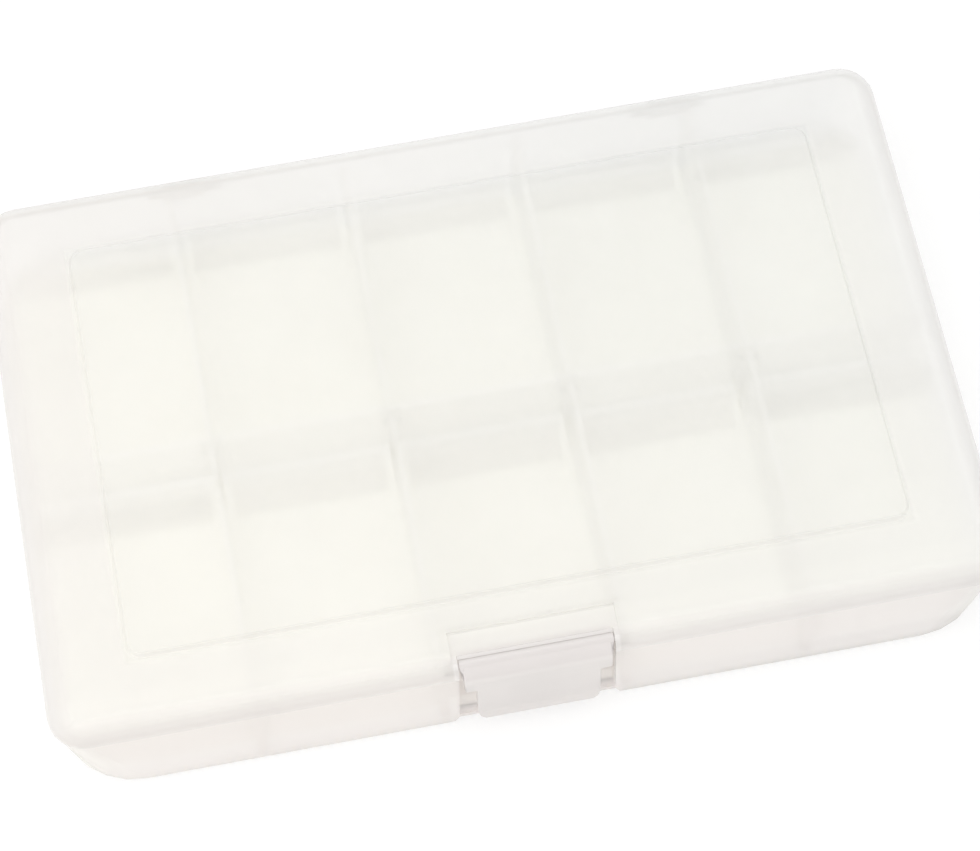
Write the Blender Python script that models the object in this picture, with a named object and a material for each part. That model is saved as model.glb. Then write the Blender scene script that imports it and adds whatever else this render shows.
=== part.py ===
"""Compartment organizer box: a shallow moulded case with ten compartments.

The tray carries a fixed centre wall and the guides of eight loose divider plates.
The lid turns on two snap hinges low at the back, and a flap at its front edge hooks
under a catch on the tray. Metres, +Z up. X runs along the case, the flap faces -Y
and Z = 0 is the table.
"""
import math

import bmesh
import bpy
from mathutils import Matrix, Vector

# Overall sizes
case_length = 0.175
case_width = 0.1115
case_height = 0.026
lid_height = 0.0046
fit_gap = 0.0003
overrun = 0.003

# Tray shell
tray_wall = 0.0016
tray_floor = 0.0013
tray_foot_corner = 0.0147
tray_foot_radius = 0.0012
tray_scoop_radius = 0.006
rim_lip_height = 0.00105

# Lid shell
lid_thickness = 0.0013
lid_corner_radius = 0.0068
lid_edge_radius = 0.0042
lid_rebate = 0.0006
smallest_corner = 0.0004

# Raised panel of the lid
panel_length = 0.1432
panel_width = 0.0848
panel_corner_radius = 0.003
panel_rise = 0.0008
panel_draft = 0.0005

# Centre wall, dividers and their guides
columns = 5
inner_wall_thickness = 0.0013
inner_wall_clearance = 0.0025
divider_pitch = 0.034
divider_thickness = 0.0011
divider_corner_radius = 0.0015
guide_width = 0.0012
guide_depth = 0.001
guide_fall = 0.0032
groove_depth = 0.0003

# Back hinges
hinge_spacing = 0.096
hinge_drop = 0.0027
hinge_barrel_length = 0.008
hinge_radius = 0.0014
hinge_ear_width = 0.003
hinge_peg_radius = 0.0007
hinge_arm_rise = 0.0014
hinge_arm_thickness = 0.0008
peg_gap = 0.0002

# Latch flap
latch_proud = 0.0018
flap_width = 0.027
flap_tab_width = 0.0228
flap_tip_width = 0.0206
flap_thickness = 0.0014
flap_flare = 0.0005
flap_reach_down = 0.0205
flap_shoulder_drop = 0.0076
flap_shoulder_fall = 0.003
flap_edge_radius = 0.0004
flap_flare_height = 0.0028
pivot_inset = 0.00185
pivot_drop = 0.0022
pivot_bead_radius = 0.001
pivot_peg_radius = 0.0006
pivot_peg_length = 0.0018
pivot_boss_width = 0.0026
pivot_boss_wall = 0.0005
hook_width = 0.0104
hook_reach = 0.0015
hook_height = 0.0016

# Latch pocket in the lid, recess and catch in the tray
pocket_overlap = 0.001
pocket_reach = 0.0076
pocket_drop = 0.0008
notch_gap = 0.0007
recess_taper = 0.0004
recess_flare = 0.0013
recess_flare_height = 0.003
recess_wall = 0.0014
ledge_setback = 0.0014
catch_width = 0.0088
catch_rise = 0.0045
catch_reach = 0.0023
catch_tip = 0.0008
catch_ramp = 0.0022

# Facet counts
corner_steps = 6
edge_steps = 5
foot_steps = 3
scoop_steps = 5
rod_sides = 24

# Places worked out from the sizes above
half_length = case_length / 2
half_width = case_width / 2
seam_height = case_height - lid_height
rim_height = seam_height - fit_gap / 2
lid_foot = seam_height + fit_gap / 2
lip_top = rim_height + rim_lip_height
rebate_top = lip_top + fit_gap
skirt_thickness = lid_thickness - lid_rebate
lip_inset = skirt_thickness + fit_gap
tray_inside = fit_gap + tray_wall
tray_rim_corner = lid_corner_radius - fit_gap
edge_centre_height = case_height - lid_edge_radius
lid_underside = case_height - lid_thickness
inner_wall_height = lid_underside - inner_wall_clearance
guide_height = inner_wall_height - guide_fall
hinge_axis_y = half_width + latch_proud - hinge_radius
hinge_axis_z = seam_height - hinge_drop
slot_half = divider_thickness / 2 + fit_gap
pivot_y = pivot_inset - half_width
pivot_z = case_height - pivot_drop
notch_half = flap_width / 2 + notch_gap
pocket_half = notch_half + pocket_overlap
pocket_back_y = pocket_reach - half_width
recess_face_y = pivot_y + pivot_bead_radius + fit_gap
pocket_floor = case_height - pocket_drop
pocket_underside = pocket_floor - lid_thickness
flap_centre_y = flap_flare + flap_thickness / 2 - half_width - latch_proud
flap_bottom = case_height - flap_reach_down
flap_shoulder_height = case_height - flap_shoulder_drop
catch_height = flap_bottom + catch_rise

# Colours of the frosted moulding, red, green, blue and alpha
tray_colour = (0.86, 0.86, 0.83, 0.55)
lid_colour = (0.88, 0.89, 0.86, 0.45)
divider_colour = (0.87, 0.88, 0.84, 0.5)
flap_colour = (0.86, 0.85, 0.83, 0.6)


def clear_scene():
    for item in list(bpy.data.objects):
        bpy.data.objects.remove(item, do_unlink=True)


def make_material(name, colour, roughness):
    material = bpy.data.materials.new(name)
    material.use_nodes = True
    shader = material.node_tree.nodes["Principled BSDF"]
    shader.inputs["Base Color"].default_value = (*colour[:3], 1)
    shader.inputs["Alpha"].default_value = colour[3]
    shader.inputs["Roughness"].default_value = roughness
    shader.inputs["Metallic"].default_value = 0
    return material


def rounded_ring(half_x, half_y, radius, height):
    """Corner points of a rounded rectangle at one height, anticlockwise from above."""
    radius = max(radius, smallest_corner)
    points = []
    for quarter, (side_x, side_y) in enumerate(((1, 1), (-1, 1), (-1, -1), (1, -1))):
        for step in range(corner_steps + 1):
            angle = math.pi / 2 * (quarter + step / corner_steps)
            x = side_x * (half_x - radius) + radius * math.cos(angle)
            y = side_y * (half_y - radius) + radius * math.sin(angle)
            points.append(Vector((x, y, height)))
    return points


def add_loft(mesh, rings):
    """Closed skin through rings with equal counts of points."""
    loops = [[mesh.verts.new(point) for point in ring] for ring in rings]
    count = len(loops[0])
    for lower, upper in zip(loops, loops[1:]):
        for index in range(count):
            after = (index + 1) % count
            mesh.faces.new((lower[index], lower[after], upper[after], upper[index]))
    mesh.faces.new(reversed(loops[0]))
    mesh.faces.new(loops[-1])


def add_box(mesh, low, high):
    low, high = Vector(low), Vector(high)
    size = Matrix.Diagonal((*(high - low), 1))
    bmesh.ops.create_cube(mesh, size=1, matrix=Matrix.Translation((low + high) / 2) @ size)


def add_prism_along_x(mesh, outline, start, end):
    """Bar with an outline of (y, z) points."""
    add_loft(mesh, [[Vector((x, y, z)) for y, z in outline] for x in (start, end)])


def add_prism_along_y(mesh, outline, start, end):
    """Bar with an outline of (x, z) points."""
    add_loft(mesh, [[Vector((x, y, z)) for x, z in outline] for y in (start, end)])


def add_stepped_rod(mesh, axis_y, axis_z, stations):
    """Turned rod along X through (x, radius) stations."""
    rings = []
    for x, radius in stations:
        ring = []
        for side in range(rod_sides):
            angle = 2 * math.pi * side / rod_sides
            ring.append(Vector((x, axis_y + radius * math.cos(angle), axis_z + radius * math.sin(angle))))
        rings.append(ring)
    add_loft(mesh, rings)


def make_object(name, mesh, material=None, origin=(0, 0, 0)):
    """Object from a bmesh in world places, with its origin moved to where it turns."""
    bmesh.ops.recalc_face_normals(mesh, faces=mesh.faces)
    bmesh.ops.translate(mesh, verts=mesh.verts, vec=-Vector(origin))
    data = bpy.data.meshes.new(name)
    mesh.to_mesh(data)
    mesh.free()
    item = bpy.data.objects.new(name, data)
    item.location = origin
    bpy.context.scene.collection.objects.link(item)
    if material:
        data.materials.append(material)
        data.shade_smooth()
        data.set_sharp_from_angle(angle=math.radians(35))
    return item


def apply_tool(target, operation, name, fill, *values):
    """Join or cut a target with a hidden tool that fill draws into a fresh bmesh."""
    mesh = bmesh.new()
    fill(mesh, *values)
    tool = make_object(name, mesh)
    tool.hide_render = True
    tool.display_type = "WIRE"
    step = target.modifiers.new(name, "BOOLEAN")
    step.operation = operation
    step.solver = "EXACT"
    step.object = tool


def tray_corner(height):
    """Outer corner radius of the tray, large at the foot and small at the rim."""
    share = min(max(height / rim_height, 0), 1)
    return tray_foot_corner + (tray_rim_corner - tray_foot_corner) * share


def tray_ring(inset, height):
    return rounded_ring(half_length - inset, half_width - inset,
                        tray_corner(height) + fit_gap - inset, height)


def lid_ring(inset, height):
    return rounded_ring(half_length - inset, half_width - inset, lid_corner_radius - inset, height)


def fill_tray_cavity(mesh):
    rings = []
    for step in range(scoop_steps + 1):
        angle = math.pi / 2 * step / scoop_steps
        inset = tray_inside + tray_scoop_radius * (1 - math.sin(angle))
        height = tray_floor + tray_scoop_radius * (1 - math.cos(angle))
        rings.append(tray_ring(inset, height))
    rings.append(tray_ring(tray_inside, rim_height))
    rings.append(tray_ring(tray_inside, lip_top + overrun))
    add_loft(mesh, rings)


def fill_inner_wall(mesh):
    """Centre wall with a hollow fillet along each foot, its ends sunk in the end walls."""
    half = inner_wall_thickness / 2
    reach = half + tray_scoop_radius
    right = [(reach, tray_floor / 2)]
    for step in range(scoop_steps + 1):
        angle = math.pi / 2 * step / scoop_steps
        y = reach - tray_scoop_radius * math.sin(angle)
        right.append((y, tray_floor + tray_scoop_radius * (1 - math.cos(angle))))
    right.append((half, inner_wall_height))
    left = [(-y, z) for y, z in reversed(right)]
    end = half_length - fit_gap - tray_wall / 2
    add_prism_along_x(mesh, right + left, -end, end)


def divider_places():
    """X of each divider plane, spread evenly about the middle."""
    middle = columns / 2 - 1
    return [(index - middle) * divider_pitch for index in range(columns - 1)]


def row_walls():
    """Inner faces of the two rows, as (outer wall face, centre wall face)."""
    outer = half_width - tray_inside
    inner = inner_wall_thickness / 2
    return {"front": (-outer, -inner), "back": (outer, inner)}


def fill_guides(mesh):
    """A pair of ribs on each wall face beside each divider."""
    for x in divider_places():
        for outer, inner in row_walls().values():
            side = math.copysign(1, outer)
            for face, inward in ((outer, -side), (inner, side)):
                sunk = face - inward * inner_wall_thickness / 4
                low_y, high_y = sorted((sunk, face + inward * guide_depth))
                for turn in (-1, 1):
                    low_x, high_x = sorted((x + turn * slot_half, x + turn * (slot_half + guide_width)))
                    add_box(mesh, (low_x, low_y, tray_floor / 2), (high_x, high_y, guide_height))


def fill_divider_slots(mesh):
    for x in divider_places():
        for outer, inner in row_walls().values():
            side = math.copysign(1, outer)
            low_y, high_y = sorted((outer + side * groove_depth, inner - side * groove_depth))
            add_box(mesh, (x - slot_half, low_y, tray_floor - groove_depth),
                    (x + slot_half, high_y, lip_top + overrun))


def fill_recess_block(mesh):
    """Inward step of the front wall, with a tongue that reaches up under the lid."""
    half = notch_half + recess_taper + recess_wall
    tongue = notch_half - fit_gap
    tongue_top = pocket_underside - fit_gap
    outline = [(-half, tray_floor / 2), (half, tray_floor / 2), (half, rim_height), (tongue, rim_height),
               (tongue, tongue_top), (-tongue, tongue_top), (-tongue, rim_height), (-half, rim_height)]
    add_prism_along_y(mesh, outline, fit_gap + tray_wall / 2 - half_width, recess_face_y + recess_wall)


def fill_recess(mesh):
    """Room for the flap above the floor plate, a little wider towards the foot."""
    low = notch_half + recess_taper
    outline = [(-low, tray_floor), (low, tray_floor), (low, recess_flare_height),
               (notch_half, lip_top + overrun), (-notch_half, lip_top + overrun),
               (-low, recess_flare_height)]
    add_prism_along_y(mesh, outline, -half_width - overrun, recess_face_y)


def fill_ledge_front(mesh):
    """Setback of the floor plate's edge below the flap, flared towards the table."""
    low = notch_half + recess_taper
    flared = low + recess_flare
    outline = [(-flared, -overrun), (flared, -overrun), (flared, 0), (low, recess_flare_height),
               (-low, recess_flare_height), (-flared, 0)]
    add_prism_along_y(mesh, outline, -half_width - overrun, ledge_setback - half_width)


def fill_lip_gap(mesh):
    """Gap in the rim lip where the pivot bosses of the lid hang down."""
    half = notch_half + pivot_boss_width + fit_gap
    add_box(mesh, (-half, -half_width - overrun, rim_height),
            (half, recess_face_y - fit_gap, lip_top + overrun))


def fill_catch(mesh):
    """Wedge that the hook lies under."""
    root = recess_face_y + recess_wall / 2
    tip = recess_face_y - catch_reach
    outline = [(root, catch_height), (tip, catch_height), (tip, catch_height + catch_tip),
               (root, catch_height + catch_tip + catch_ramp)]
    add_prism_along_x(mesh, outline, -catch_width / 2, catch_width / 2)


def hinge_places():
    return (-hinge_spacing / 2, hinge_spacing / 2)


def ear_spans(middle):
    """X ranges of the two tray ears beside a lid barrel."""
    near = hinge_barrel_length / 2 + fit_gap
    far = near + hinge_ear_width
    return ((middle - far, middle - near), (middle + near, middle + far))


def fill_hinge_ears(mesh):
    for middle in hinge_places():
        for start, end in ear_spans(middle):
            add_stepped_rod(mesh, hinge_axis_y, hinge_axis_z, ((start, hinge_radius), (end, hinge_radius)))


def fill_hinge_bores(mesh):
    """Room for each lid barrel and its pegs."""
    bore = hinge_peg_radius + peg_gap
    room = hinge_radius + fit_gap
    for middle in hinge_places():
        (first, near_left), (near_right, last) = ear_spans(middle)
        add_stepped_rod(mesh, hinge_axis_y, hinge_axis_z,
                        ((first - overrun, bore), (near_left, bore), (near_left, room),
                         (near_right, room), (near_right, bore), (last + overrun, bore)))


def build_tray(material):
    rings = []
    for step in range(foot_steps + 1):
        angle = math.pi / 2 * step / foot_steps
        inset = fit_gap + tray_foot_radius * (1 - math.sin(angle))
        rings.append(tray_ring(inset, tray_foot_radius * (1 - math.cos(angle))))
    rings.append(tray_ring(fit_gap, rim_height))
    rings.append(tray_ring(lip_inset, rim_height))
    rings.append(tray_ring(lip_inset, lip_top))
    mesh = bmesh.new()
    add_loft(mesh, rings)
    tray = make_object("base_tray", mesh, material)
    apply_tool(tray, "DIFFERENCE", "tray_cavity", fill_tray_cavity)
    apply_tool(tray, "UNION", "tray_inner_wall", fill_inner_wall)
    apply_tool(tray, "UNION", "tray_guides", fill_guides)
    apply_tool(tray, "UNION", "tray_recess_block", fill_recess_block)
    apply_tool(tray, "UNION", "tray_hinge_ears", fill_hinge_ears)
    apply_tool(tray, "DIFFERENCE", "tray_slots", fill_divider_slots)
    apply_tool(tray, "DIFFERENCE", "tray_recess", fill_recess)
    apply_tool(tray, "DIFFERENCE", "tray_ledge_front", fill_ledge_front)
    apply_tool(tray, "DIFFERENCE", "tray_lip_gap", fill_lip_gap)
    apply_tool(tray, "UNION", "tray_catch", fill_catch)
    apply_tool(tray, "DIFFERENCE", "tray_hinge_bores", fill_hinge_bores)
    return tray


def edge_rings(radius, foot):
    """Rings of the rounded lid edge for one of its two skins, from a foot height up."""
    rise = min(max(foot - edge_centre_height, 0) / radius, 1)
    start = math.asin(rise)
    rings = []
    for step in range(edge_steps + 1):
        angle = start + (math.pi / 2 - start) * step / edge_steps
        inset = lid_edge_radius - radius * math.cos(angle)
        rings.append(lid_ring(inset, edge_centre_height + radius * math.sin(angle)))
    return rings


def fill_lid_cavity(mesh):
    inner_radius = lid_edge_radius - lid_thickness
    rings = [lid_ring(skirt_thickness, lid_foot - overrun), lid_ring(skirt_thickness, rebate_top)]
    if rebate_top < edge_centre_height:
        rings.append(lid_ring(lid_thickness, rebate_top))
    upper = edge_rings(inner_radius, rebate_top)
    add_loft(mesh, rings + upper)


def panel_ring(inset, height):
    return rounded_ring(panel_length / 2 - inset, panel_width / 2 - inset,
                        panel_corner_radius - inset, height)


def fill_panel(mesh):
    """Raised panel with sloped sides, rooted in the lid's top."""
    rings = [panel_ring(0, case_height - lid_thickness / 2), panel_ring(0, case_height),
             panel_ring(panel_draft, case_height + panel_rise)]
    add_loft(mesh, rings)


def fill_panel_hollow(mesh):
    """Keeps the raised panel as thin as the rest of the lid."""
    top = lid_underside + panel_rise
    add_loft(mesh, [panel_ring(lid_thickness, height) for height in (lid_underside - overrun, top)])


def fill_pocket_pad(mesh):
    """Thicker plate below the latch pocket."""
    half = pocket_half + lid_thickness
    add_box(mesh, (-half, recess_face_y - fit_gap, pocket_underside),
            (half, pocket_back_y + lid_thickness, case_height - lid_thickness / 2))


def fill_pivot_bosses(mesh):
    reach = pivot_peg_radius + peg_gap + pivot_boss_wall
    for side in (-1, 1):
        low_x, high_x = sorted((side * notch_half, side * (notch_half + pivot_boss_width)))
        add_box(mesh, (low_x, pivot_y - reach, pivot_z - reach), (high_x, pivot_y + reach, pivot_z))


def fill_pocket(mesh):
    add_box(mesh, (-pocket_half, -half_width - overrun, pocket_floor),
            (pocket_half, pocket_back_y, case_height + overrun))


def fill_notch(mesh):
    add_box(mesh, (-notch_half, -half_width - overrun, lid_foot - overrun),
            (notch_half, recess_face_y, case_height + overrun))


def fill_pivot_bores(mesh):
    bore = pivot_peg_radius + peg_gap
    depth = pivot_peg_length + fit_gap
    for side in (-1, 1):
        start, end = sorted((side * (notch_half - overrun), side * (flap_width / 2 + depth)))
        add_stepped_rod(mesh, pivot_y, pivot_z, ((start, bore), (end, bore)))


def fill_hinge_arms(mesh):
    """Arms that lead from the lid's back edge down to the barrels, clear of the tray's wall."""
    sunk = half_width - skirt_thickness / 2
    top = edge_centre_height + hinge_arm_rise
    outline = [(half_width, hinge_axis_z), (hinge_axis_y + hinge_peg_radius, hinge_axis_z),
               (half_width + hinge_arm_thickness, lid_foot), (sunk, top),
               (sunk, lid_foot + fit_gap), (half_width, seam_height)]
    half = hinge_barrel_length / 2 - fit_gap
    for middle in hinge_places():
        add_prism_along_x(mesh, outline, middle - half, middle + half)


def fill_hinge_barrels(mesh):
    """Barrel and snap pegs of each lid hinge."""
    half = hinge_barrel_length / 2
    peg_end = half + hinge_ear_width
    for middle in hinge_places():
        stations = [(middle + x, radius) for x, radius in
                    ((-peg_end, hinge_peg_radius), (-half, hinge_peg_radius), (-half, hinge_radius),
                     (half, hinge_radius), (half, hinge_peg_radius), (peg_end, hinge_peg_radius))]
        add_stepped_rod(mesh, hinge_axis_y, hinge_axis_z, stations)


def build_lid(material):
    rings = []
    if lid_foot < edge_centre_height:
        rings.append(lid_ring(0, lid_foot))
    rings += edge_rings(lid_edge_radius, lid_foot)
    mesh = bmesh.new()
    add_loft(mesh, rings)
    lid = make_object("lid", mesh, material, (0, hinge_axis_y, hinge_axis_z))
    apply_tool(lid, "DIFFERENCE", "lid_cavity", fill_lid_cavity)
    apply_tool(lid, "UNION", "lid_panel", fill_panel)
    apply_tool(lid, "DIFFERENCE", "lid_panel_hollow", fill_panel_hollow)
    apply_tool(lid, "UNION", "lid_pocket_pad", fill_pocket_pad)
    apply_tool(lid, "UNION", "lid_pivot_bosses", fill_pivot_bosses)
    apply_tool(lid, "DIFFERENCE", "lid_pocket", fill_pocket)
    apply_tool(lid, "DIFFERENCE", "lid_notch", fill_notch)
    apply_tool(lid, "DIFFERENCE", "lid_pivot_bores", fill_pivot_bores)
    apply_tool(lid, "UNION", "lid_hinge_arms", fill_hinge_arms)
    apply_tool(lid, "UNION", "lid_hinge_barrels", fill_hinge_barrels)
    return lid


def flap_stations():
    """Middle line of the flap as (y, z, half width, heading), from the pivot bead to the pull tip."""
    upper = flap_width / 2
    tab = flap_tab_width / 2
    tip = flap_tip_width / 2
    down = Vector((0, 0, -1))
    stations = []
    for step in range(edge_steps + 1):
        angle = math.pi / 2 * step / edge_steps
        out = flap_centre_y - pivot_y
        y = pivot_y + out * math.sin(angle)
        z = pivot_z - flap_shoulder_fall * (1 - math.cos(angle))
        heading = Vector((0, out * math.cos(angle), -flap_shoulder_fall * math.sin(angle)))
        stations.append((y, z, upper, heading.normalized()))
    stations.append((flap_centre_y, flap_shoulder_height, upper, down))
    stations.append((flap_centre_y, flap_shoulder_height - flap_edge_radius, tab, down))
    for step in range(edge_steps + 1):
        share = step / edge_steps
        y = flap_centre_y - flap_flare * (1 - math.cos(math.pi * share)) / 2
        z = flap_bottom + flap_flare_height * (1 - share)
        half = tip + (tab - tip) * math.sqrt(1 - share ** 2)
        heading = Vector((0, -flap_flare * math.pi / 2 * math.sin(math.pi * share), -flap_flare_height))
        stations.append((y, z, half, heading.normalized()))
    return stations


def flap_ring(y, z, half, heading):
    """Rounded rectangle across the flap, square to its middle line."""
    across = Vector((0, -heading.z, heading.y))
    flat = rounded_ring(half, flap_thickness / 2, flap_edge_radius, 0)
    return [Vector((point.x, y, z)) + across * point.y for point in flat]


def fill_pivot_rod(mesh):
    half = flap_width / 2
    end = half + pivot_peg_length
    add_stepped_rod(mesh, pivot_y, pivot_z,
                    ((-end, pivot_peg_radius), (-half, pivot_peg_radius), (-half, pivot_bead_radius),
                     (half, pivot_bead_radius), (half, pivot_peg_radius), (end, pivot_peg_radius)))


def fill_hook(mesh):
    """Ridge that lies under the catch, with a sloped foot."""
    root = flap_centre_y
    tip = flap_centre_y + flap_thickness / 2 + hook_reach
    top = catch_height - fit_gap
    outline = [(root, top), (root, top - 2 * hook_height), (tip, top - hook_height), (tip, top)]
    add_prism_along_x(mesh, outline, -hook_width / 2, hook_width / 2)


def build_flap(material):
    rings = [flap_ring(*station) for station in flap_stations()]
    mesh = bmesh.new()
    add_loft(mesh, rings)
    flap = make_object("latch_flap", mesh, material, (0, pivot_y, pivot_z))
    apply_tool(flap, "UNION", "flap_pivot_rod", fill_pivot_rod)
    apply_tool(flap, "UNION", "flap_hook", fill_hook)
    return flap


def divider_outline(outer, inner):
    """Side view of a plate with rounded top corners, as (y, z) points."""
    low, high = sorted((outer + math.copysign(groove_depth - fit_gap, outer),
                        inner - math.copysign(groove_depth - fit_gap, outer)))
    bottom = tray_floor - groove_depth + fit_gap
    radius = divider_corner_radius
    points = [(low, bottom), (high, bottom)]
    for middle, first in ((high - radius, 0), (low + radius, 1)):
        for step in range(corner_steps + 1):
            angle = math.pi / 2 * (first + step / corner_steps)
            points.append((middle + radius * math.cos(angle),
                           inner_wall_height - radius + radius * math.sin(angle)))
    return points


def build_dividers(material):
    for row, (outer, inner) in row_walls().items():
        for number, x in enumerate(divider_places(), start=1):
            mesh = bmesh.new()
            add_prism_along_x(mesh, divider_outline(outer, inner),
                              x - divider_thickness / 2, x + divider_thickness / 2)
            make_object(f"divider_{row}_{number}", mesh, material)


def main():
    clear_scene()
    tray_material = make_material("frosted_tray", tray_colour, 0.38)
    lid_material = make_material("frosted_lid", lid_colour, 0.32)
    divider_material = make_material("frosted_divider", divider_colour, 0.36)
    flap_material = make_material("frosted_flap", flap_colour, 0.35)
    build_tray(tray_material)
    build_lid(lid_material)
    build_flap(flap_material)
    build_dividers(divider_material)


main()
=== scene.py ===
import math

import bmesh
import bpy
from mathutils import Matrix, Vector


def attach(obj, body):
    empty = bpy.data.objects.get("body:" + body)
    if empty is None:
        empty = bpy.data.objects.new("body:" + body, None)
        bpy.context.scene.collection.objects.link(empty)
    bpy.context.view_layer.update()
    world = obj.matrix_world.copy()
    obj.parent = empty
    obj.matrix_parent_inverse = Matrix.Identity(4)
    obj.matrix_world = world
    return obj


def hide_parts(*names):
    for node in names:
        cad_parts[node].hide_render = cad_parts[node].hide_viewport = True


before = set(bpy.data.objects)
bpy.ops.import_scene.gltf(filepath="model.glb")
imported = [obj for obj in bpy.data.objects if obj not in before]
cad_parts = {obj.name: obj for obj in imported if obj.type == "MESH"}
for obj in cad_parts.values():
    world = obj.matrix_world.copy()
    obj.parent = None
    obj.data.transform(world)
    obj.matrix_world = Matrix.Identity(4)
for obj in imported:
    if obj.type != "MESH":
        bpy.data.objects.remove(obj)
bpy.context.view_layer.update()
print("frame loaded:", len(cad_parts), "nodes")

# sizes and places are in millimetres unless a note says otherwise; x runs to the right, y to the back
perMetre = 1000.0   # millimetres


class Value:
    # one shader socket that takes part in plain arithmetic
    def __init__(self, tree, socket):
        self.tree = tree
        self.socket = socket

    def maths(self, operation, *others):
        return self.tree.add("ShaderNodeMath", {"operation": operation}, dict(enumerate((self, *others))))

    def __add__(self, other):
        return self.maths("ADD", other)

    def __sub__(self, other):
        return self.maths("SUBTRACT", other)

    def __mul__(self, other):
        return self.maths("MULTIPLY", other)

    def __rsub__(self, other):
        return self.tree.add("ShaderNodeMath", {"operation": "SUBTRACT"}, {0: other, 1: self})

    def __abs__(self):
        return self.maths("ABSOLUTE")

    __radd__ = __add__
    __rmul__ = __mul__

    def ramp(self, start, full, share=1.0):
        # 0 at start, softly up to share at full, whichever of the two is higher
        return self.tree.add("ShaderNodeMapRange", {"interpolation_type": "SMOOTHSTEP"},
                             {"Value": self, "From Min": start, "From Max": full, "To Max": share})

    def band(self, start, end, soft, share=1.0):
        # share between start and end, with ends that fade over soft
        return self.ramp(start - soft, start, share) * self.ramp(end + soft, end)


class Tree:
    # the nodes of one material or world
    def __init__(self, owner):
        owner.use_nodes = True
        self.nodes = owner.node_tree.nodes
        self.links = owner.node_tree.links
        self.nodes.clear()

    def add(self, kind, settings=None, sockets=None, output=0):
        # gives the output that is named, or a list where several are
        node = self.nodes.new(kind)
        for name, value in (settings or {}).items():
            setattr(node, name, value)
        for key, value in (sockets or {}).items():
            if isinstance(value, Value):
                self.links.new(value.socket, node.inputs[key])
            else:
                node.inputs[key].default_value = value
        if isinstance(output, tuple):
            return [Value(self, node.outputs[key]) for key in output]
        return Value(self, node.outputs[output]) if len(node.outputs) else node

    def mixColour(self, share, first, second):
        # a Mix node has its colours at sockets 6 and 7, and gives one at output 2
        sockets = {0: share, 6: rgba(first), 7: rgba(second)}
        return self.add("ShaderNodeMix", {"data_type": "RGBA"}, sockets, 2)

    def place(self):
        # object coordinates in millimetres, as a vector and as x, y and z
        spot = self.add("ShaderNodeTexCoord", output="Object")
        scaled = self.add("ShaderNodeVectorMath", {"operation": "SCALE"}, {0: spot, "Scale": perMetre})
        return scaled, self.add("ShaderNodeSeparateXYZ", {}, {0: scaled}, ("X", "Y", "Z"))

    def noise(self, spot, detail, lump=1.0):
        # noise about 0.5 whose lumps are lump wide
        return self.add("ShaderNodeTexNoise", {}, {"Vector": spot, "Scale": 1 / lump, "Detail": detail})

    def seen(self):
        # 1 for what the camera sees, also by reflection or through the plastic, and 0 for bounced light
        camera, mirrored, passed = self.add("ShaderNodeLightPath", output=("Is Camera Ray", "Is Glossy Ray",
                                                                           "Is Transmission Ray"))
        return (camera + mirrored + passed).maths("MINIMUM", 1.0)


def rgba(colour):
    # a colour socket takes a fourth number; a link stays as it is
    return colour if isinstance(colour, Value) else (*colour, 1.0)


frostedPlastic = {
    "ior": 1.49,
    "grain": 0.35,                  # the fine moulded texture
    "grainDetail": 1.0,
    "grainDepth": 0.006,
    "grainStrength": 0.5,
    "cloud": 26.0,                  # slow change of density from the moulding flow
    "cloudDetail": 2.0,
    "cloudShade": 0.05,             # what the clouds add to the colour, the alpha and the roughness
    "cloudAlpha": 0.05,
    "cloudRoughness": 0.1,
    "scuffSize": (9.0, 0.72, 5.0),  # faint scratches from handling
    "scuffDetail": 1.0,
    "scuffTurn": (0.0, 0.0, 0.5),   # radians
    "scuffPart": (0.68, 0.74),      # where the noise makes a scratch
    "scuffRoughness": 0.15,
    "far": (-90.0, 120.0),          # painted light: a warmer, brighter tint at the front left, cooler and dimmer to the back right
    "farSlant": 0.6,                # how much y counts in that beside x
}


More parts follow.
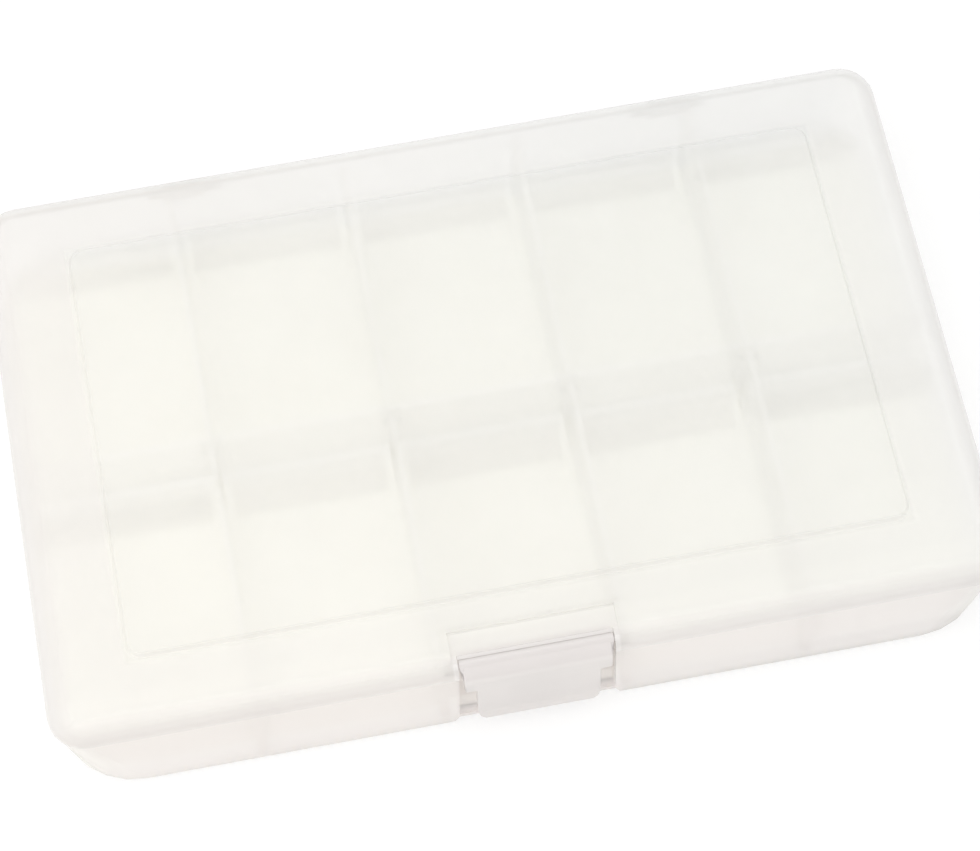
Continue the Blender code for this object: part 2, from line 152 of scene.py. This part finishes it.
def frosted(name, look, zones=None):
    # zones(x, y, z) says where the plastic differs from the look's plain colour and alpha, from 0 to 1
    plastic = frostedPlastic
    material = bpy.data.materials.new(name)
    tree = Tree(material)
    spot, (x, y, z) = tree.place()
    zone = zones(x, y, z) if zones else {}
    cloud = tree.noise(spot, plastic["cloudDetail"], plastic["cloud"]) - 0.5
    grain = tree.noise(spot, plastic["grainDetail"], plastic["grain"])
    stretched = tree.add("ShaderNodeMapping", {}, {"Vector": spot, "Rotation": plastic["scuffTurn"],
                                                   "Scale": [1 / size for size in plastic["scuffSize"]]})
    scuffs = tree.noise(stretched, plastic["scuffDetail"]).ramp(*plastic["scuffPart"])

    colour = look["colour"]
    alpha = look["alpha"] + cloud * plastic["cloudAlpha"]
    for part in ("wall", "front", "back", "innerShade", "opaqueAndShaded"):
        if part in zone:
            colour = tree.mixColour(zone[part], colour, look[part + "Colour"])
    # this zone is denser, more opaque plastic, and its darker colour also holds painted shade
    if "opaqueAndShaded" in zone:
        alpha = alpha + zone["opaqueAndShaded"] * (look["opaqueAndShadedAlpha"] - look["alpha"])
    # painted light: the tint of warmer light from the front left, fading to the back right
    far = (x + y * plastic["farSlant"]).ramp(*plastic["far"])
    if "even" in zone:
        far = far * (1 - zone["even"])
    tint = tree.mixColour(far, look["nearTint"], look["farTint"])
    colour = tree.add("ShaderNodeVectorMath", {"operation": "MULTIPLY"}, {0: colour, 1: tint})
    shade = 1 + cloud * plastic["cloudShade"]
    colour = tree.add("ShaderNodeVectorMath", {"operation": "SCALE"}, {0: colour, "Scale": shade})
    if "dense" in zone:
        alpha = alpha + zone["dense"] * (look["denseAlpha"] - alpha)
    if "thin" in zone:
        alpha = alpha - zone["thin"] * (look["alpha"] - look["thinAlpha"])
    if "patch" in zone:
        colour = tree.mixColour(zone["patch"], colour, look["patchColour"])
        alpha = alpha + zone["patch"] * (look["patchAlpha"] - alpha)

    roughness = look["roughness"] + scuffs * plastic["scuffRoughness"] + cloud * plastic["cloudRoughness"]
    bump = tree.add("ShaderNodeBump", {}, {"Strength": plastic["grainStrength"], "Height": grain,
                                           "Distance": plastic["grainDepth"] / perMetre})
    shader = tree.add("ShaderNodeBsdfPrincipled", {}, {"Base Color": colour, "Alpha": alpha, "Normal": bump,
                                                       "Roughness": roughness, "IOR": plastic["ior"]})
    tree.add("ShaderNodeOutputMaterial", {}, {"Surface": shader})
    return material


finish = {
    "weld": 0.001,       # corners of the CAD mesh closer than this become one
    "flat": 0.01,        # radians, faces that bend less than this are joined
    "edge": 0.6,         # radians, only edges sharper than this are rounded
    "steps": 3,          # faces across a rounded edge
    "crisp": 32.0,       # degrees, sharper bends aren't shaded smooth
}


def show(mesh, name, material):
    # makes a bmesh a smoothly shaded object of the scene
    data = bpy.data.meshes.new(name)
    mesh.to_mesh(data)
    mesh.free()
    data.materials.append(material)
    data.shade_smooth()
    data.set_sharp_from_angle(angle=math.radians(finish["crisp"]))
    piece = bpy.data.objects.new(name, data)
    bpy.context.scene.collection.objects.link(piece)
    return piece


def refined(node, name, body, material, rounded=None, radius=0.0):
    # a welded, smoothly shaded copy of a CAD node; rounded(middle) says which of its edges get the radius
    mesh = bmesh.new()
    mesh.from_mesh(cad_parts[node].data)
    bmesh.ops.remove_doubles(mesh, verts=mesh.verts, dist=finish["weld"] / perMetre)
    bmesh.ops.dissolve_limit(mesh, angle_limit=finish["flat"], verts=mesh.verts, edges=mesh.edges)
    if rounded:
        closed = [edge for edge in mesh.edges if edge.is_manifold]
        sharp = [edge for edge in closed if edge.calc_face_angle() > finish["edge"]]
        chosen = [edge for edge in sharp if rounded((edge.verts[0].co + edge.verts[1].co) / 2 * perMetre)]
        bmesh.ops.bevel(mesh, geom=chosen, offset=radius / perMetre, offset_type="OFFSET", affect="EDGES",
                        segments=finish["steps"], profile=0.5, material=-1, clamp_overlap=True)
    piece = show(mesh, name, material)
    weighted = piece.modifiers.new("evenShading", "WEIGHTED_NORMAL")
    weighted.keep_sharp = True
    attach(piece, body)
    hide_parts(node)
    return piece


# a zone of a look is given by where it starts, where it is full and, unless it is 1, how full it gets;
# a band is given by its two ends, how far they fade and, unless it is 1, how full it gets
lidLook = {
    "colour": (0.98, 0.975, 0.96),
    "innerShadeColour": (0.87, 0.868, 0.86),
    "opaqueAndShadedColour": (0.84, 0.82, 0.81),
    "patchColour": (0.94, 0.925, 0.915),
    "nearTint": (1.0, 0.995, 0.985),
    "farTint": (0.96, 0.967, 0.97),
    "alpha": 0.28,
    "opaqueAndShadedAlpha": 0.5,
    "patchAlpha": 0.5,
    "roughness": 0.34,
    "rimLeft": (-82.0, -84.5, 0.56),
    "rimRight": (82.0, 84.5),
    "rimRightFront": (-30.0, -50.0, 0.35),
    "rimRightShare": 0.21,
    "rimFront": (-51.6, -53.4, 0.56),
    "rimBack": (52.0, 54.5, 0.084),
    "pocketSide": (15.4, 15.0),
    "pocketBack": (-48.3, -48.5, 0.4),
    "pocketFront": (-50.0, -52.6, 0.32),
    "slopeFoot": (26.0, 26.1),
    "slopeTop": (26.8, 26.75),
    "slopeFront": (-43.0, -41.8, 0.2, 0.7),   # a band
    "slopeShare": 0.1,
    "panelSide": (72.6, 71.6),
    "panelEnd": (43.4, 42.4),
    "marginShare": 0.3,
    "marginBehindFront": (-46.0, -36.0, 0.12),
    "marginLeft": (0.0, -76.0, 0.25),
    "marginBack": (36.0, 46.0, 0.1),
    "innerFace": (25.75, 25.6),
    "innerSide": (84.0, 83.0),
    "innerEnds": (-47.8, 52.0, 0.4),          # a band
    "notchEnd": (14.3, 14.9, 0.35),           # a band
    "notchFront": (-52.3, -52.6),
    "notchTop": (25.3, 25.1),
    "roundedWithin": (72.0, 43.0, 25.9),      # the panel's half length, half width and lowest height
    "roundedRadius": 0.18,
}


def lidZones(x, y, z):
    look = lidLook
    # denser and darker along the rounded rim, where there is most plastic, with painted shade that is
    # strongest on the left and front rims and weakest at the back; painted shade in the latch pocket, on
    # the panel's sloped sides, most on the front step, and on the margin around the panel, more to the left
    # and the back than at the front
    rim = x.ramp(*look["rimRight"]) * (look["rimRightShare"] + y.ramp(*look["rimRightFront"]))
    for edge in (x.ramp(*look["rimLeft"]), y.ramp(*look["rimFront"]), y.ramp(*look["rimBack"])):
        rim = rim.maths("MAXIMUM", edge)
    pocket = abs(x).ramp(*look["pocketSide"]) * (y.ramp(*look["pocketBack"]) + y.ramp(*look["pocketFront"]))
    slope = z.ramp(*look["slopeFoot"]) * z.ramp(*look["slopeTop"])
    slope = slope * (look["slopeShare"] + y.band(*look["slopeFront"]))
    panel = abs(x).ramp(*look["panelSide"]) * abs(y).ramp(*look["panelEnd"])
    margin = look["marginShare"] + y.ramp(*look["marginBehindFront"])
    margin = (margin + x.ramp(*look["marginLeft"]) + y.ramp(*look["marginBack"])) * (1 - panel)
    return {
        "opaqueAndShaded": (margin + pocket + rim + slope).maths("MINIMUM", 1.0),
        # painted shade: the inner face of the top is darker than the outer, so that it doesn't glare white
        # when the lid lies open
        "innerShade": z.ramp(*look["innerFace"]) * abs(x).ramp(*look["innerSide"]) * y.band(*look["innerEnds"]),
        # light gathers at both ends of the notch that holds the flap
        "patch": abs(x).band(*look["notchEnd"]) * y.ramp(*look["notchFront"]) * z.ramp(*look["notchTop"]),
    }


def onPanelEdge(middle):
    halfLength, halfWidth, lowest = lidLook["roundedWithin"]
    return abs(middle.x) < halfLength and abs(middle.y) < halfWidth and middle.z > lowest


trayLook = {
    "colour": (0.98, 0.97, 0.88),
    "wallColour": (0.985, 0.985, 0.985),
    "frontColour": (0.935, 0.90, 0.89),
    "backColour": (0.86, 0.87, 0.87),
    "opaqueAndShadedColour": (0.72, 0.70, 0.675),
    "patchColour": (0.97, 0.92, 0.905),
    "nearTint": (0.995, 0.99, 0.98),
    "farTint": (0.97, 0.977, 0.985),
    "alpha": 0.42,
    "opaqueAndShadedAlpha": 0.75,
    "denseAlpha": 0.62,
    "thinAlpha": 0.27,
    "patchAlpha": 0.56,
    "roughness": 0.38,
    "wallFoot": (1.6, 7.0),
    "frontWall": (-51.0, -53.0),
    "backWall": (52.5, 53.8),
    "evenFront": (-50.0, -48.0),
    "evenBack": (52.5, 50.0, 0.8),
    "footTop": (6.6, 5.4, 0.42),
    "middleFoot": (-6.2, -0.9, 0.4),       # a band
    "backFoot": (48.3, 53.4, 0.4),         # a band
    "dividerStep": 34.0,
    "dividerSide": (2.0, 2.5),             # from the middle of a divider
    "recessSide": (15.6, 16.6),
    "contactTop": (4.2, 0.4),
    "contactShare": 0.35,
    "contactRight": (-60.0, 60.0, 0.5),
    "cornerFront": (-40.0, -50.0),
    "cornerRight": (72.0, 84.0, 0.25),
    "cornerLeft": (-74.0, -84.0, 0.15),
    "frontFace": (-52.5, -54.5),
    "thinFoot": (5.0, 9.0),
    "thinFront": (-51.5, -50.5),
    "recessInside": (15.9, 15.5),
    "recessDepth": (-54.8, -51.0, 0.3),    # a band
    "recessFloor": (0.2, 0.8),
}


def trayZones(x, y, z):
    look = trayLook
    wall = z.ramp(*look["wallFoot"])
    front = y.ramp(*look["frontWall"])
    # dark bars on the hollow fillets below the centre wall and the back wall, between the dividers: denser
    # plastic, with painted shade at the foot of the walls
    half = look["dividerStep"] / 2
    between = abs(abs(abs(x) - look["dividerStep"]) - half).ramp(*look["dividerSide"])
    foot = (y.band(*look["middleFoot"]) + y.band(*look["backFoot"])) * z.ramp(*look["footTop"]) * between
    # painted shadow along the foot of the front wall where it stands on the table, growing to the right,
    # and painted shade on the two front corners, more on the right one
    contact = z.ramp(*look["contactTop"]) * front * abs(x).ramp(*look["recessSide"])
    contact = contact * (look["contactShare"] + x.ramp(*look["contactRight"]))
    corner = y.ramp(*look["cornerFront"]) * (x.ramp(*look["cornerRight"]) + x.ramp(*look["cornerLeft"]))
    # the walls of the recess behind the flap are lighter and pinker: the pink is the plastic's own, and the
    # lightness is painted light that lifts the shade in the recess
    recess = abs(x).ramp(*look["recessInside"]) * y.band(*look["recessDepth"])
    recess = recess * z.ramp(*look["recessFloor"])
    return {
        # walls are greyer than the floor, and the front wall is warmest
        "wall": wall,
        "front": front,
        "back": y.ramp(*look["backWall"]),
        "opaqueAndShaded": (foot + contact + corner).maths("MINIMUM", 1.0),
        # the inner walls keep nearly the same tint of painted light from end to end
        "even": wall * y.ramp(*look["evenFront"]) * y.ramp(*look["evenBack"]),
        # the front face lets least light through
        "dense": y.ramp(*look["frontFace"]),
        # upright walls let more light through than the floor, except the front one
        "thin": z.ramp(*look["thinFoot"]) * y.ramp(*look["thinFront"]),
        "patch": recess,
    }


flapLook = {
    # the pink tint is the flap's own; its colour is darker than the other parts' by painted shade on its
    # upright face
    "colour": (0.83, 0.80, 0.785),
    "opaqueAndShadedColour": (0.685, 0.65, 0.64),
    "nearTint": (1.0, 1.0, 1.0),
    "farTint": (0.97, 0.97, 0.97),
    "alpha": 0.8,
    "opaqueAndShadedAlpha": 0.9,
    "roughness": 0.34,
    "hingeDepth": (-53.0, -53.9, 0.7),
    "hingeHeight": (22.0, 23.0),
    "catchSide": (5.2, 4.6),
    "catchHeight": (7.4, 11.6, 0.8, 0.1),  # a band
    "upper": (16.0, 20.0, 0.06),
    "lower": (18.5, 16.5, 0.16),
    "lowest": (13.0, 9.5, 0.16),
}


def flapZones(x, y, z):
    # the bending line at its top edge is dense plastic with painted shade from the hinge groove, and the
    # catch shows through lower down; the face is also darker towards the bottom, and a little at the top
    look = flapLook
    hinge = y.ramp(*look["hingeDepth"]) * z.ramp(*look["hingeHeight"])
    catch = abs(x).ramp(*look["catchSide"]) * z.band(*look["catchHeight"])
    height = z.ramp(*look["upper"]) + z.ramp(*look["lower"]) + z.ramp(*look["lowest"])
    return {"opaqueAndShaded": (hinge + catch + height).maths("MINIMUM", 1.0)}


bead = {
    "y": -53.9,
    "z": 23.8,
    "radius": 1.0,
    "halfLength": 13.5,
    "raised": 0.19,
    "longer": 0.5,
    "from": 15.0,          # degrees about the bead's axis, from the back
    "to": 120.0,
    "soft": 30.0,
    "endRounding": 0.5,
    "near": 0.02,          # how exactly a vertex of the bead is told from others
}


def raiseBead(piece):
    # the hinge film makes the top of the flap's bead a little fuller, and its ends longer
    for vertex in piece.data.vertices:
        x, y, z = vertex.co * perMetre - Vector((0.0, bead["y"], bead["z"]))
        turn = math.degrees(math.atan2(z, y))
        share = min(1.0, (turn - bead["from"]) / bead["soft"], (bead["to"] - turn) / bead["soft"])
        reach = math.hypot(y, z)
        atEnd = bead["halfLength"] - bead["endRounding"] < abs(x) < bead["halfLength"] + bead["near"]
        if atEnd and reach < bead["radius"] + bead["near"]:
            vertex.co.x += math.copysign(bead["longer"], x) / perMetre
        if share > 0 and abs(reach - bead["radius"]) < bead["near"]:
            vertex.co.y += y * bead["raised"] * share / perMetre
            vertex.co.z += z * bead["raised"] * share / perMetre


dividerLook = {
    "colour": (0.98, 0.975, 0.955),
    "nearTint": (1.0, 1.0, 1.0),
    "farTint": (0.97, 0.97, 0.97),
    "alpha": 0.3,
    "roughness": 0.36,
    "roundedAbove": 3.0,
    "roundedRadius": 0.2,
}


def onDividerTop(middle):
    return middle.z > dividerLook["roundedAbove"]


refined("lid", "lidShell", "lid", frosted("frostedLid", lidLook, lidZones),
        onPanelEdge, lidLook["roundedRadius"])
refined("base_tray", "trayShell", "tray", frosted("frostedTray", trayLook, trayZones))
flap = refined("latch_flap", "latchFlapShell", "flap", frosted("frostedFlap", flapLook, flapZones))
raiseBead(flap)
dividerPlastic = frosted("frostedDivider", dividerLook)
for nodeName in sorted(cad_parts):
    if nodeName.startswith("divider"):
        refined(nodeName, nodeName.replace("divider", "dividerPlate"), "tray", dividerPlastic,
                onDividerTop, dividerLook["roundedRadius"])
print("lid, tray, flap and dividers made")


hingeFilm = {
    # the film is dense plastic, and its dark colour also holds painted shade from the groove of the hinge
    "colour": (0.70, 0.675, 0.66),
    "patchColour": (0.76, 0.735, 0.72),
    "nearTint": (1.0, 1.0, 1.0),
    "farTint": (0.97, 0.97, 0.97),
    "alpha": 0.9,
    "patchAlpha": 0.8,
    "roughness": 0.34,
    "thinEdge": (-52.9, -53.1),
    "halfLength": 14.12,
    "wall": 0.06,
    # y and z of its line, from the lid down to the bead
    "profile": [(-52.58, 25.14), (-52.86, 25.1), (-53.06, 25.0), (-53.2, 24.89)],
}


def filmZones(x, y, z):
    # the film is thinnest where it meets the flap
    return {"patch": y.ramp(*hingeFilm["thinEdge"])}


def makeHingeFilm():
    # the thin moulded film that joins the lid to the flap, laid over the back of the flap's bead
    mesh = bmesh.new()
    profile = hingeFilm["profile"]
    half = hingeFilm["halfLength"]
    edge = mesh.edges.new([mesh.verts.new((x, *profile[0])) for x in (-half, half)])
    for before, after in zip(profile, profile[1:]):
        grown = bmesh.ops.extrude_edge_only(mesh, edges=[edge])["geom"]
        step = (0, after[0] - before[0], after[1] - before[1])
        corners = [item for item in grown if isinstance(item, bmesh.types.BMVert)]
        bmesh.ops.translate(mesh, vec=step, verts=corners)
        edge = next(item for item in grown if isinstance(item, bmesh.types.BMEdge))
    bmesh.ops.recalc_face_normals(mesh, faces=mesh.faces)
    if sum(face.normal.z for face in mesh.faces) < 0:
        bmesh.ops.reverse_faces(mesh, faces=mesh.faces)
    bmesh.ops.solidify(mesh, geom=mesh.faces[:], thickness=hingeFilm["wall"])
    bmesh.ops.recalc_face_normals(mesh, faces=mesh.faces)
    bmesh.ops.scale(mesh, vec=[1 / perMetre] * 3, verts=mesh.verts)
    piece = show(mesh, "hingeFilm", frosted("frostedFilm", hingeFilm, filmZones))
    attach(piece, "lid")
    heights = [vertex.co.z * perMetre for vertex in piece.data.vertices]
    print("hinge film made, from z", round(min(heights), 2), "to", round(max(heights), 2))


makeHingeFilm()


# the studio and the camera are in metres
studio = {
    "floorHalf": 3.0,
    "floorHeight": -0.0003,
    "floorColour": (0.36, 0.36, 0.36),
    "floorGlow": 0.63,
    "bounceColour": (0.94, 0.94, 0.93),
    "skyColour": (1.0, 1.0, 1.0),
    "skyStrength": 0.8,
    "seenSkyStrength": 1.0,
    "lampSize": 0.8,
    "lamps": {
        "keyLight": {"place": (-0.18, -0.15, 0.74), "power": 3.18, "colour": (1.0, 0.99, 0.97)},
        "fillLight": {"place": (-0.5, -0.6, 0.4), "power": 0.45, "colour": (1.0, 0.98, 0.98)},
    },
}


def paleFloor():
    # a floor that glows nearly white where it is seen, and only bounces light onto the object
    material = bpy.data.materials.new("paleFloor")
    tree = Tree(material)
    shown = tree.add("ShaderNodeBsdfDiffuse", {}, {"Color": rgba(studio["floorColour"])})
    glow = tree.add("ShaderNodeEmission", {}, {"Strength": studio["floorGlow"]})
    bright = tree.add("ShaderNodeAddShader", {}, {0: shown, 1: glow})
    plain = tree.add("ShaderNodeBsdfDiffuse", {}, {"Color": rgba(studio["bounceColour"])})
    mixed = tree.add("ShaderNodeMixShader", {}, {0: tree.seen(), 1: plain, 2: bright})
    tree.add("ShaderNodeOutputMaterial", {}, {"Surface": mixed})
    return material


def makeFloor():
    mesh = bmesh.new()
    bmesh.ops.create_grid(mesh, x_segments=1, y_segments=1, size=studio["floorHalf"],
                          matrix=Matrix.Translation((0, 0, studio["floorHeight"])))
    show(mesh, "floor", paleFloor())


def makeSky():
    # lights the object softly from all sides, and is plain white where it is seen
    world = bpy.data.worlds.new("studio")
    bpy.context.scene.world = world
    tree = Tree(world)
    sky = rgba(studio["skyColour"])
    light = tree.add("ShaderNodeBackground", {}, {"Color": sky, "Strength": studio["skyStrength"]})
    white = tree.add("ShaderNodeBackground", {}, {"Color": sky, "Strength": studio["seenSkyStrength"]})
    mixed = tree.add("ShaderNodeMixShader", {}, {0: tree.seen(), 1: light, 2: white})
    tree.add("ShaderNodeOutputWorld", {}, {"Surface": mixed})


def makeLamp(name, settings):
    # a square lamp that points at the frame's origin, below the middle of the object
    lamp = bpy.data.lights.new(name, "AREA")
    lamp.shape = "SQUARE"
    lamp.size = studio["lampSize"]
    lamp.energy = settings["power"]
    lamp.color = settings["colour"]
    item = bpy.data.objects.new(name, lamp)
    item.location = settings["place"]
    item.rotation_euler = (-Vector(settings["place"])).to_track_quat("-Z", "Y").to_euler()
    bpy.context.scene.collection.objects.link(item)


makeFloor()
makeSky()
for lampName, lampSettings in studio["lamps"].items():
    makeLamp(lampName, lampSettings)

cameraFit = {
    "elevation": 1.1151,       # radians, as are yaw and roll
    "yaw": -0.1513,
    "roll": -0.0405,
    "distance": 0.58242,
    "focal": 3019.76,          # pixels of the photograph, as are the shifts and the width
    "shiftX": 8.02,
    "shiftY": 18.42,
    "width": 980,
    "sensor": 36.0,            # millimetres
    "nearest": 0.01,
}


def makeCamera():
    elevation, yaw, roll = cameraFit["elevation"], cameraFit["yaw"], cameraFit["roll"]
    level = math.cos(elevation)
    back = Vector((math.sin(yaw) * level, -math.cos(yaw) * level, math.sin(elevation)))
    right = (-back).cross(Vector((0, 0, 1))).normalized()
    up = right.cross(-back)
    across = right * math.cos(roll) + up * math.sin(roll)
    upright = up * math.cos(roll) - right * math.sin(roll)
    data = bpy.data.cameras.new("camera")
    data.sensor_width = cameraFit["sensor"]
    data.lens = cameraFit["focal"] * cameraFit["sensor"] / cameraFit["width"]
    data.shift_x = cameraFit["shiftX"] / cameraFit["width"]
    data.shift_y = cameraFit["shiftY"] / cameraFit["width"]
    data.clip_start = cameraFit["nearest"]
    camera = bpy.data.objects.new("camera", data)
    turn = Matrix((across, upright, back)).transposed()
    camera.matrix_world = Matrix.Translation(back * cameraFit["distance"]) @ turn.to_4x4()
    bpy.context.scene.collection.objects.link(camera)
    bpy.context.scene.camera = camera


makeCamera()
scene = bpy.context.scene
scene.view_settings.view_transform = "Standard"
# light has to pass through many layers of frosted wall
scene.cycles.transparent_max_bounces = 24
scene.cycles.diffuse_bounces = 8
scene.cycles.max_bounces = 16
print("studio and camera ready")
